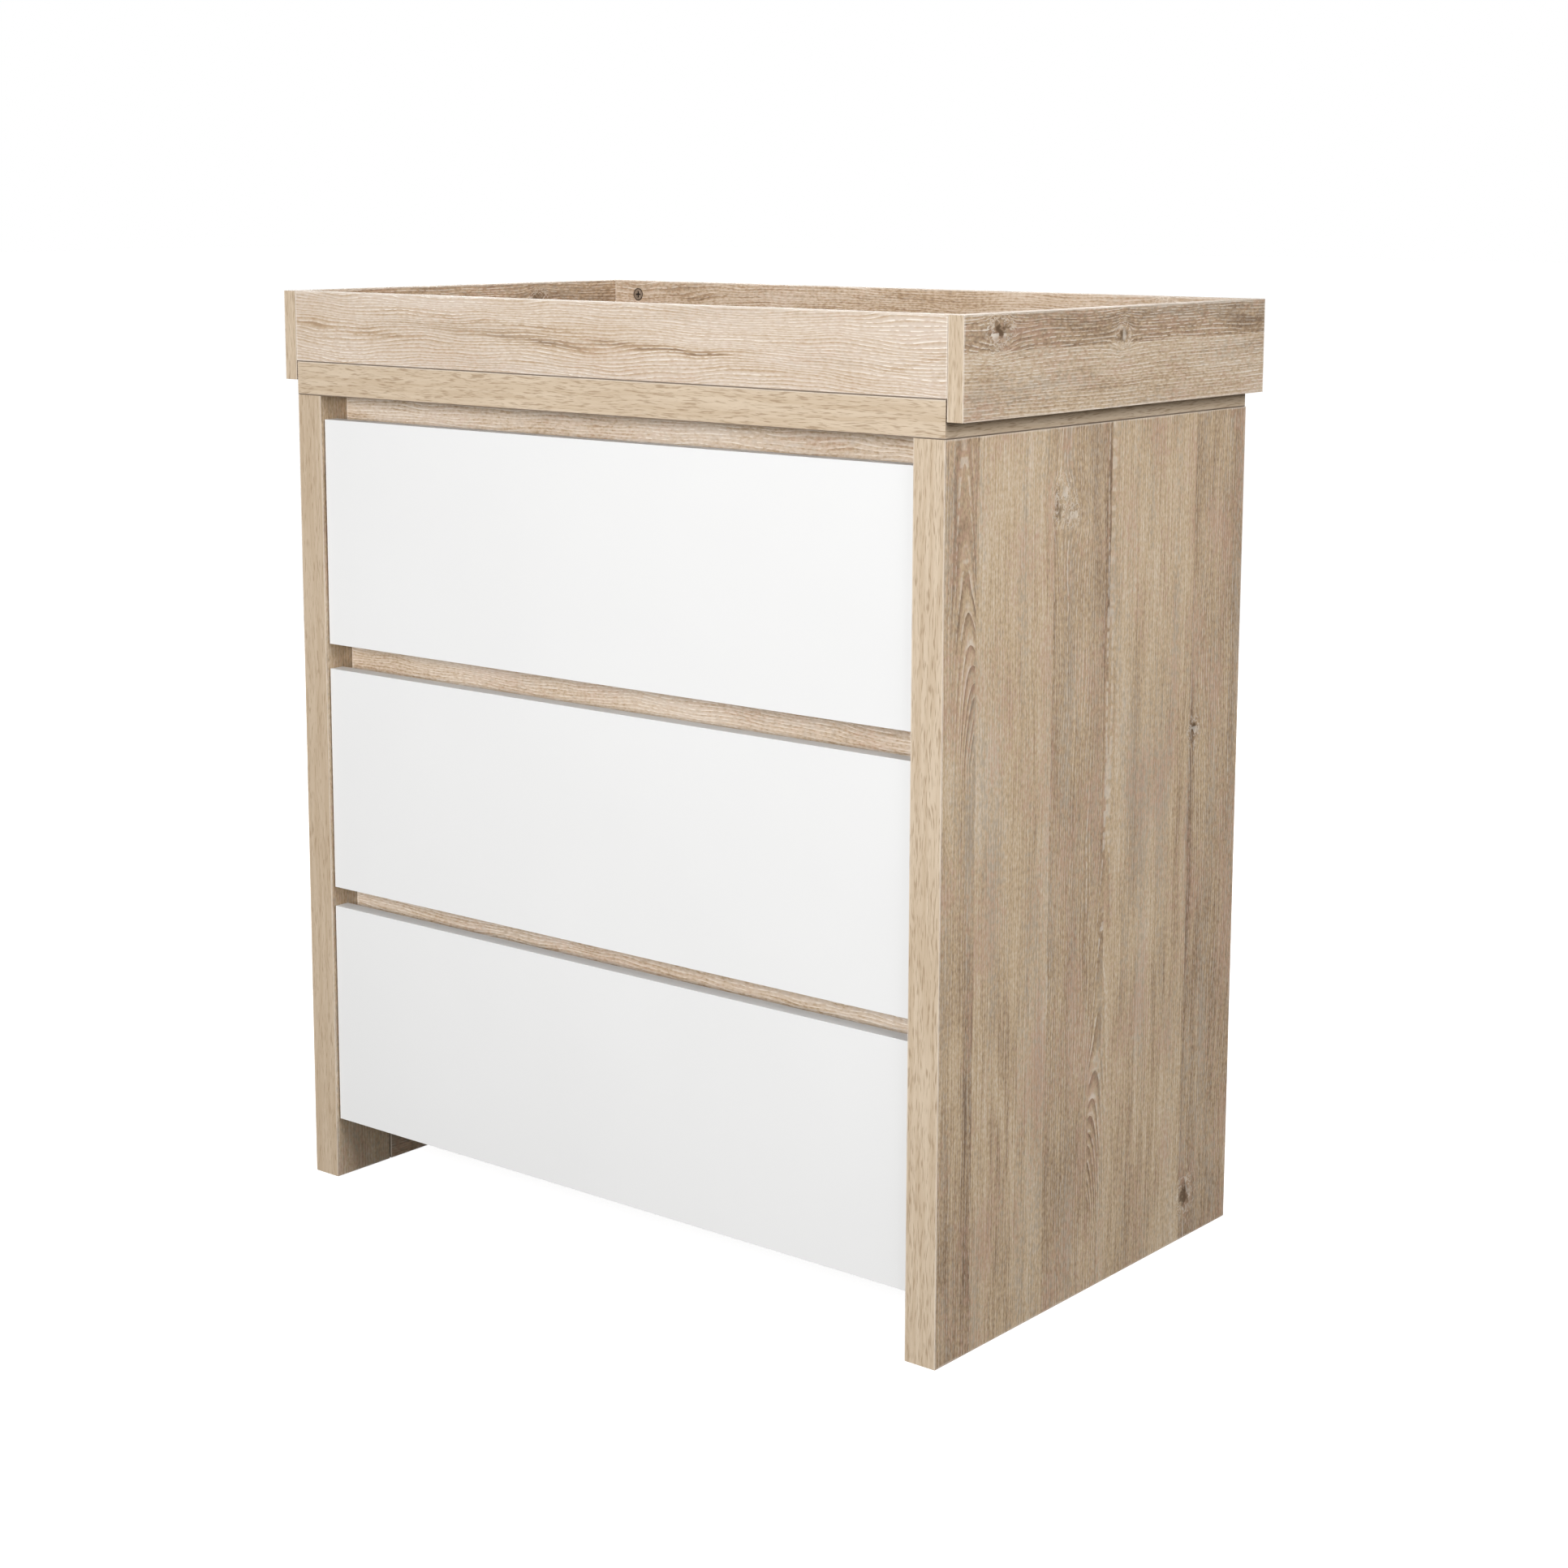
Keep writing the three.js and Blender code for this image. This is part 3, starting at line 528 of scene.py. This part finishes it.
def die_cast_zinc(name, inward):
    """A zinc cam as cast and tumbled: dull, bronze-grey and pitted, with painted shade in its recess and a
    painted shadow round its rim.
    """
    low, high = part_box(name)
    face = (high if inward > 0 else low)[1]
    material, tree = new_material(f"die_cast_zinc_{name}")
    spot = add(tree, "TexCoord", out="Object")
    # Painted shade: the deeper a point lies behind the cam's face, the darker it is drawn.
    depth = add(tree, "SeparateXYZ", [spot], out="Y")
    depth = add(tree, "Math", [depth, face], operation="SUBTRACT")
    depth = add(tree, "Math", [depth], operation="ABSOLUTE")
    depth = add(tree, "MapRange", [depth, 0.4 * MM, 1.2 * MM, 0.0, 0.85])
    centre = add(tree, "VectorMath", [spot, (low + high) / 2], operation="SUBTRACT")
    centre = add(tree, "VectorMath", [centre, (1.0, 0.0, 1.0)], operation="MULTIPLY")
    radius = add(tree, "VectorMath", [centre], out="Value", operation="LENGTH")
    # Painted shadow: a dark ring at the cam's rim, in the gap round it.
    rim_shade = add(tree, "MapRange", [radius, 6.0 * MM, 6.8 * MM, 0.0, 0.85])
    depth = add(tree, "Math", [depth, rim_shade], operation="MAXIMUM")
    mottle = add(tree, "TexNoise", {"Vector": spot, "Scale": 1 / (2.5 * MM), "Detail": 3.0}, out="Fac")
    pits = add(tree, "TexNoise", {"Vector": spot, "Scale": 1 / (0.5 * MM), "Detail": 2.0}, out="Fac")
    skin = add(tree, "Mix", {0: mottle, 6: colour("#A89E93"), 7: colour("#CCC4BB")}, out=2, data_type="RGBA")
    # The dark colour is the painted shade and shadow from the two masks above.
    skin = add(tree, "Mix", {0: depth, 6: skin, 7: colour("#3B332C")}, out=2, data_type="RGBA")
    gloss = add(tree, "MapRange", [mottle, 0.3, 0.7, 0.34, 0.48])
    bump = add(tree, "Bump", {"Height": pits, "Strength": 0.3, "Distance": 0.05 * MM})
    zinc = {"Base Color": skin, "Metallic": 1.0, "Roughness": gloss, "Normal": bump}
    add(tree, "OutputMaterial", [add(tree, "BsdfPrincipled", zinc)])
    return material


bright_zinc = plated_steel("bright_zinc_plate", ("#C8CBCE", "#DADCDE"), 0.40, "Z")
for board, inward in (("front", 1), ("back", -1)):
    for hand in HANDS:
        cam = f"tray_{board}_{hand}_cam"
        dress(cam, die_cast_zinc(cam, inward), 0.3)
        dress(f"tray_{board}_{hand}_bolt", bright_zinc, 0.2)

# ---------------------------------------------------------------- tray fixing plates
# Two flat, punched steel plates stand on the back of the tray, each held to it by two low-headed screws.
# The two lower holes are for screws into the top, which are left out so that the tray can be lifted off.

HEAD_SIDES = 20
HEAD_PROFILE = ((1.0, 0.0), (1.0, 0.3), (0.88, 0.75), (0.68, 1.0))  # shares of the radius and of the height


def add_head(shape, place, facing, radius, height, crossed):
    """Builds one low, domed head into a mesh, standing on a place and facing out, in metres.
    A crossed head has a cross-shaped recess for a driver."""
    turn = Vector(facing).to_track_quat("Z", "Y").to_matrix().to_4x4()
    seat = Matrix.Translation(place) @ turn
    rings = []
    for share, rise in HEAD_PROFILE:
        ring = []
        for step in range(HEAD_SIDES):
            angle = math.tau * step / HEAD_SIDES
            spot = Vector((math.cos(angle) * radius * share, math.sin(angle) * radius * share, height * rise))
            ring.append(shape.verts.new(seat @ spot))
        rings.append(ring)
    for below, above in zip(rings, rings[1:]):
        for step in range(HEAD_SIDES):
            after = (step + 1) % HEAD_SIDES
            shape.faces.new((below[step], below[after], above[after], above[step]))
    shape.faces.new(rings[0][::-1])
    if not crossed:
        shape.faces.new(rings[-1])
        return
    arm, half = 0.52 * radius, 0.12 * radius
    quarter = ((half, arm), (half, half), (arm, half))
    quarter_turns = ((1, 0), (0, -1), (-1, 0), (0, 1))
    outline = [(x * a - y * b, x * b + y * a) for a, b in quarter_turns for x, y in quarter]
    mouth = [shape.verts.new(seat @ Vector((x, y, height))) for x, y in outline]
    floor = [shape.verts.new(seat @ Vector((x * 0.8, y * 0.8, height - 0.5 * radius))) for x, y in outline]
    edges = []
    for loop in (rings[-1], mouth):
        for step, vertex in enumerate(loop):
            after = loop[(step + 1) % len(loop)]
            edges.append(shape.edges.get((vertex, after)) or shape.edges.new((vertex, after)))
    bmesh.ops.triangle_fill(shape, edges=edges, use_beauty=True)
    for step in range(len(outline)):
        after = (step + 1) % len(outline)
        shape.faces.new((mouth[step], mouth[after], floor[after], floor[step]))
    shape.faces.new(floor)


def add_heads(name, body, material, facing, radius, height, places, crossed=True):
    """One piece made of like heads, in one material, which moves with a body."""
    shape = bmesh.new()
    for place in places:
        add_head(shape, place, facing, radius, height, crossed)
    bmesh.ops.recalc_face_normals(shape, faces=shape.faces)
    mesh = bpy.data.meshes.new(name)
    shape.to_mesh(mesh)
    shape.free()
    mesh.materials.append(material)
    piece = bpy.data.objects.new(name, mesh)
    scene.collection.objects.link(piece)
    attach(piece, body)


PLATE_SCREW_RADIUS, PLATE_SCREW_HEIGHT = 3.5 * MM, 0.28 * MM
PLATE_SCREW_DROPS = (8.0, 22.0)  # mm below the plate's top
SEATING = 0.02 * MM  # how far a head is pressed into its plate
for hand in HANDS:
    plate = f"tray_{hand}_fixing_plate"
    dress(plate, bright_zinc, 0.3)
    low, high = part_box(plate)
    middle = (low[0] + high[0]) / 2
    places = [(middle, high[1] - SEATING, high[2] - drop * MM) for drop in PLATE_SCREW_DROPS]
    add_heads(f"tray_{hand}_plate_screws", "changing_tray", bright_zinc, (0, 1, 0),
              PLATE_SCREW_RADIUS, PLATE_SCREW_HEIGHT, places)

# ---------------------------------------------------------------- drawer fronts
# White 18 mm boards, lacquered on both faces and all four edges, and drawn onto the drawers' sides by cams.
# They have no handles: fingers reach over the top edge.


def matt_lacquer():
    """Sprayed white lacquer: even and soft, with the faint orange peel of a sprayed coat."""
    material, tree = new_material("matt_white_lacquer")
    spot = add(tree, "TexCoord", out="Object")
    peel = add(tree, "TexNoise", {"Vector": spot, "Scale": 1 / (2.2 * MM), "Detail": 2.0}, out="Fac")
    coat = add(tree, "TexNoise", {"Vector": spot, "Scale": 1 / (180 * MM), "Detail": 2.0}, out="Fac")
    skin = add(tree, "Mix", {0: coat, 6: colour("#E6E6E6"), 7: colour("#EAEAEA")}, out=2, data_type="RGBA")
    gloss = add(tree, "MapRange", [peel, 0.3, 0.7, 0.42, 0.5])
    bump = add(tree, "Bump", {"Height": peel, "Strength": 0.12, "Distance": 0.04 * MM})
    lacquer = {"Base Color": skin, "Roughness": gloss, "Normal": bump, "Specular IOR Level": 0.4}
    add(tree, "OutputMaterial", [add(tree, "BsdfPrincipled", lacquer)])
    return material


DRAWERS = ("top", "middle", "bottom")
FRONT_EDGE, FRONT_EDGE_STEPS = 1.4, 3  # mm that the lacquered edges are rounded by, and in how many steps
white_lacquer = matt_lacquer()
for drawer in DRAWERS:
    dress(f"{drawer}_drawer_front", white_lacquer, FRONT_EDGE, FRONT_EDGE_STEPS)

# ---------------------------------------------------------------- drawer boxes
# Three white melamine-faced boards, screwed together behind each front, round a thin white bottom
# sheet that slides in grooves.


def melamine():
    """White melamine facing: a low sheen with a fine pebbled texture."""
    material, tree = new_material("white_melamine")
    spot = add(tree, "TexCoord", out="Object")
    pebble = add(tree, "TexVoronoi", {"Vector": spot, "Scale": 1 / (1.2 * MM)}, out="Distance")
    tone = add(tree, "TexNoise", {"Vector": spot, "Scale": 1 / (70 * MM), "Detail": 3.0}, out="Fac")
    skin = add(tree, "Mix", {0: tone, 6: colour("#DDDCD8"), 7: colour("#E6E5E2")}, out=2, data_type="RGBA")
    gloss = add(tree, "MapRange", [tone, 0.3, 0.7, 0.4, 0.52])
    bump = add(tree, "Bump", {"Height": pebble, "Strength": 0.15, "Distance": 0.05 * MM})
    surface = {"Base Color": skin, "Roughness": gloss, "Normal": bump}
    add(tree, "OutputMaterial", [add(tree, "BsdfPrincipled", surface)])
    return material


BOX_EDGE = 0.6  # mm that the boards' edges are rounded by
board_white = melamine()
for drawer in DRAWERS:
    for part in ("left_side", "right_side", "back", "bottom"):
        dress(f"{drawer}_drawer_{part}", board_white, 0.0 if part == "bottom" else BOX_EDGE)


def moulded_cap():
    """White polypropylene caps: slightly waxy, with a faint moulded grain."""
    material, tree = new_material("white_polypropylene")
    spot = add(tree, "TexCoord", out="Object")
    grain = add(tree, "TexNoise", {"Vector": spot, "Scale": 1 / (0.8 * MM), "Detail": 2.0}, out="Fac")
    tone = add(tree, "TexNoise", {"Vector": spot, "Scale": 1 / (12 * MM), "Detail": 2.0}, out="Fac")
    skin = add(tree, "Mix", {0: tone, 6: colour("#D6D5D0"), 7: colour("#E0DFDB")}, out=2, data_type="RGBA")
    gloss = add(tree, "MapRange", [grain, 0.3, 0.7, 0.32, 0.42])
    bump = add(tree, "Bump", {"Height": grain, "Strength": 0.2, "Distance": 0.04 * MM})
    waxy = {"Subsurface Weight": 0.08, "Subsurface Radius": (2 * MM, 2 * MM, 2 * MM)}
    plastic = {"Base Color": skin, "Roughness": gloss, "Normal": bump}
    add(tree, "OutputMaterial", [add(tree, "BsdfPrincipled", plastic | waxy)])
    return material


# Plastic caps cover the cams that hold each front to the two sides.
CAP_RADIUS, CAP_HEIGHT = 8.5 * MM, 1.1 * MM
CAP_INSET, CAP_RISES = 34.0, (42.0, 106.0)  # mm behind the side's front end, and above its lower edge
polypropylene = moulded_cap()
for drawer in DRAWERS:
    for hand, side in zip(HANDS, (-1, 1)):
        low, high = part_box(f"{drawer}_drawer_{hand}_side")
        inner = min(abs(low[0]), abs(high[0])) * side
        places = [(inner, low[1] + CAP_INSET * MM, low[2] + rise * MM) for rise in CAP_RISES]
        add_heads(f"{drawer}_drawer_{hand}_cam_caps", f"{drawer}_drawer", polypropylene,
                  (-side, 0, 0), CAP_RADIUS, CAP_HEIGHT, places, crossed=False)

# ---------------------------------------------------------------- runners
# Ball-bearing runners of cold-rolled, zinc-plated steel, in three members that slide in one another.
# The widest is screwed to the cabinet's lining, and the narrowest to the drawer's side.

runner_zinc = plated_steel("rolled_zinc_runner", ("#BFC2C5", "#D2D4D7"), 0.40, "Y")
for drawer in DRAWERS:
    for hand in HANDS:
        for member in ("cabinet", "middle", "drawer"):
            dress(f"{drawer}_{hand}_{member}_runner", runner_zinc)

# Each row of low pan-head screws stands on its member's web, in the channel that faces the other members.
WEB = 1.2 * MM  # thickness of the steel
RUNNER_SCREW_RADIUS, RUNNER_SCREW_HEIGHT = 3.2 * MM, 1.1 * MM
RUNNER_SCREW_PLACES = (37.0, 165.0, 293.0, 421.0)  # mm from the member's front end
for drawer in DRAWERS:
    for hand, side in zip(HANDS, (-1, 1)):
        for member, body in (("cabinet", "carcass"), ("drawer", f"{drawer}_drawer")):
            low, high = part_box(f"{drawer}_{hand}_{member}_runner")
            outer, inner = max(abs(low[0]), abs(high[0])), min(abs(low[0]), abs(high[0]))
            across = (outer - WEB if member == "cabinet" else inner + WEB) * side
            facing = -side if member == "cabinet" else side
            middle = (low[2] + high[2]) / 2
            places = [(across, low[1] + run * MM, middle) for run in RUNNER_SCREW_PLACES]
            add_heads(f"{drawer}_{hand}_{member}_runner_screws", body, bright_zinc,
                      (facing, 0, 0), RUNNER_SCREW_RADIUS, RUNNER_SCREW_HEIGHT, places)

# ---------------------------------------------------------------- back
# Two brown hardboard sheets, pressed from wood fibre, pinned to the rear edges of the cabinet.
# They meet in a white plastic strip with a groove for each.


def hardboard():
    """Pressed wood fibre: brown, flecked, and nearly matt."""
    material, tree = new_material("brown_hardboard")
    spot = add(tree, "TexCoord", out="Object")
    fibre = {"Vector": spot, "Scale": 1 / (3 * MM), "Detail": 5.0, "Roughness": 0.7}
    flecks = add(tree, "TexNoise", fibre, out="Fac")
    patches = add(tree, "TexNoise", {"Vector": spot, "Scale": 1 / (90 * MM), "Detail": 4.0}, out="Fac")
    mix = add(tree, "Math", [flecks, 3.0, patches], operation="MULTIPLY_ADD")
    mix = add(tree, "MapRange", [mix, 1.3, 2.7, 0.0, 1.0])
    skin = add(tree, "Mix", {0: mix, 6: colour("#8B6D4E"), 7: colour("#AF9069")}, out=2, data_type="RGBA")
    bump = add(tree, "Bump", {"Height": flecks, "Strength": 0.3, "Distance": 0.1 * MM})
    gloss = add(tree, "MapRange", [flecks, 0.3, 0.7, 0.6, 0.8])
    surface = {"Base Color": skin, "Roughness": gloss, "Normal": bump}
    add(tree, "OutputMaterial", [add(tree, "BsdfPrincipled", surface)])
    return material


back_sheet = hardboard()
dress("lower_back_panel", back_sheet)
dress("upper_back_panel", back_sheet)


def extruded_plastic():
    """White rigid PVC, drawn through a die: satin, with faint lines along its length."""
    material, tree = new_material("white_extruded_pvc")
    spot = add(tree, "TexCoord", out="Object")
    stretch = (1 / (60 * MM), 1 / (0.5 * MM), 1 / (0.5 * MM))
    drawn = add(tree, "VectorMath", [spot, stretch], operation="MULTIPLY")
    lines = add(tree, "TexNoise", {"Vector": drawn, "Scale": 1.0, "Detail": 2.0}, out="Fac")
    skin = add(tree, "Mix", {0: lines, 6: colour("#D2D1CC"), 7: colour("#DFDEDA")}, out=2, data_type="RGBA")
    gloss = add(tree, "MapRange", [lines, 0.3, 0.7, 0.36, 0.46])
    bump = add(tree, "Bump", {"Height": lines, "Strength": 0.2, "Distance": 0.03 * MM})
    surface = {"Base Color": skin, "Roughness": gloss, "Normal": bump}
    add(tree, "OutputMaterial", [add(tree, "BsdfPrincipled", surface)])
    return material


dress("back_joining_strip", extruded_plastic())

# Wire pins hold the sheets to the rear edges of the linings and the bottom panel.
PIN_RADIUS, PIN_HEIGHT = 1.6 * MM, 0.5 * MM
PIN_SPACING, PIN_INSET = 110.0 * MM, 25.0 * MM  # between pins at least, and from a sheet's top and bottom
PINS_BELOW = 6  # along the bottom panel
lining_low, lining_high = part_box("right_lining_panel")
column = (lining_low[0] + lining_high[0]) / 2
for sheet in ("lower_back_panel", "upper_back_panel"):
    low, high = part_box(sheet)
    run = high[2] - low[2] - 2 * PIN_INSET
    rows = int(run / PIN_SPACING)
    places = []
    for row in range(rows + 1):
        height = low[2] + PIN_INSET + run * row / rows
        places += [(column * side, high[1], height) for side in (-1, 1)]
    if sheet == "lower_back_panel":
        shelf_low, shelf_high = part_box("bottom_panel")
        middle = (shelf_low[2] + shelf_high[2]) / 2
        for pin in range(1, PINS_BELOW + 1):
            share = 2 * pin / (PINS_BELOW + 1) - 1
            places.append((column * share, high[1], middle))
    add_heads(f"{sheet}_pins", "carcass", bright_zinc, (0, 1, 0), PIN_RADIUS, PIN_HEIGHT,
              places, crossed=False)
